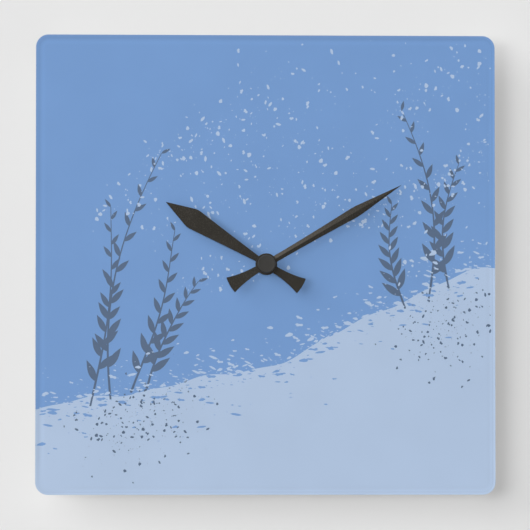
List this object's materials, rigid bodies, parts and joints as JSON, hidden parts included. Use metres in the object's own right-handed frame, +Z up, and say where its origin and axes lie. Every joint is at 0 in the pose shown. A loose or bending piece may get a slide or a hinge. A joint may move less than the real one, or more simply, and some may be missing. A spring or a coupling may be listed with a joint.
{
  "type": "wall clock",
  "caption": "Square wall clock with rounded corners: a clear plate printed on its back face, tapered hands with flared tails, and a battery movement with a hanging loop behind it.",
  "frame": {"origin": "hands' axis on the plane of the wall, on the flat back of the movement's rear cover", "axes": "+X right and +Z up as seen from the front, +Y back to the wall; the clock faces -Y"},
  "size_m": [0.273, 0.03, 0.273],
  "materials": {
    "clear_acrylic": "clear polished acrylic sheet with flame-polished edges",
    "print_ink": "printed ink layer, mid blue and pale blue, seen through the plate",
    "black_rubber": "matt black rubber",
    "brass": "turned brass",
    "black_plastic": "black moulded plastic with a fine spark texture",
    "white_plastic": "natural white moulded plastic",
    "board_laminate": "green lacquered laminate",
    "black_resin": "black potting resin",
    "steel": "plated spring and core steel",
    "copper_wire": "enamelled copper wire",
    "cell_sleeve": "plain dark sleeve over the cell's can",
    "hand_paint": "stamped aluminium with satin dark grey paint",
    "cap_paint": "satin dark grey paint",
    "magnet": "sintered magnet"
  },
  "bodies": {
    "clock_body": {"acrylic_plate": "clear_acrylic", "dial_print": "print_ink", "rubber_gasket": "black_rubber", "threaded_bush": "brass", "brass_washer": "brass", "lock_nut": "brass", "front_case": "black_plastic", "rear_cover": "black_plastic", "hanger": "black_plastic", "centre_plate": "white_plastic", "circuit_board": "board_laminate", "timing_chip": "black_resin", "quartz_crystal": "steel", "positive_contact": "steel", "negative_contact": "steel", "coil_bobbin": "white_plastic", "coil_winding": "copper_wire", "coil_core": "steel", "stator": "steel"},
    "minute_arbor": {"minute_hand": "hand_paint", "cap_nut": "cap_paint", "minute_shaft": "white_plastic", "centre_wheel": "white_plastic"},
    "hour_arbor": {"hour_hand": "hand_paint", "hour_wheel": "white_plastic"},
    "motion_arbor": {"motion_wheel": "white_plastic"},
    "setting_arbor": {"setting_pinion": "white_plastic", "set_knob": "white_plastic"},
    "third_arbor": {"third_wheel": "white_plastic"},
    "seconds_arbor": {"seconds_wheel": "white_plastic"},
    "intermediate_arbor": {"intermediate_wheel": "white_plastic"},
    "rotor": {"rotor_pinion": "white_plastic", "rotor_magnet": "magnet"},
    "battery": {"battery_can": "cell_sleeve", "battery_cap": "steel"}
  },
  "joints": [
    {"name": "minute_spin", "type": "hinge", "parent": "clock_body", "child": "minute_arbor", "pos_m": [0, 0, 0], "axis": [0, 1, 0], "continuous": true},
    {"name": "hour_spin", "type": "hinge", "parent": "clock_body", "child": "hour_arbor", "pos_m": [0, 0, 0], "axis": [0, 1, 0], "continuous": true},
    {"name": "motion_spin", "type": "hinge", "parent": "clock_body", "child": "motion_arbor", "pos_m": [-0.00686, 0, 0.00396], "axis": [0, 1, 0], "continuous": true},
    {"name": "setting_spin", "type": "hinge", "parent": "clock_body", "child": "setting_arbor", "pos_m": [-0.01577, 0, 0.00396], "axis": [0, 1, 0], "continuous": true},
    {"name": "third_spin", "type": "hinge", "parent": "clock_body", "child": "third_arbor", "pos_m": [0.0102, 0, 0], "axis": [0, 1, 0], "continuous": true},
    {"name": "seconds_spin", "type": "hinge", "parent": "clock_body", "child": "seconds_arbor", "pos_m": [0, 0, 0], "axis": [0, 1, 0], "continuous": true},
    {"name": "intermediate_spin", "type": "hinge", "parent": "clock_body", "child": "intermediate_arbor", "pos_m": [0.00226, 0, 0.00845], "axis": [0, 1, 0], "continuous": true},
    {"name": "rotor_spin", "type": "hinge", "parent": "clock_body", "child": "rotor", "pos_m": [0.00226, 0, 0.01445], "axis": [0, 1, 0], "continuous": true},
    {"name": "battery_slide", "type": "slide", "parent": "clock_body", "child": "battery", "axis": [0, 1, 0], "range_m": [0, 0.02]}
  ],
  "couplings": [
    {"joint": "hour_spin", "follows": "minute_spin", "ratio": 0.083333},
    {"joint": "motion_spin", "follows": "minute_spin", "ratio": -0.33333},
    {"joint": "setting_spin", "follows": "minute_spin", "ratio": 0.66667},
    {"joint": "third_spin", "follows": "minute_spin", "ratio": -7.5},
    {"joint": "seconds_spin", "follows": "minute_spin", "ratio": 60},
    {"joint": "intermediate_spin", "follows": "minute_spin", "ratio": -360},
    {"joint": "rotor_spin", "follows": "minute_spin", "ratio": 1800}
  ]
}
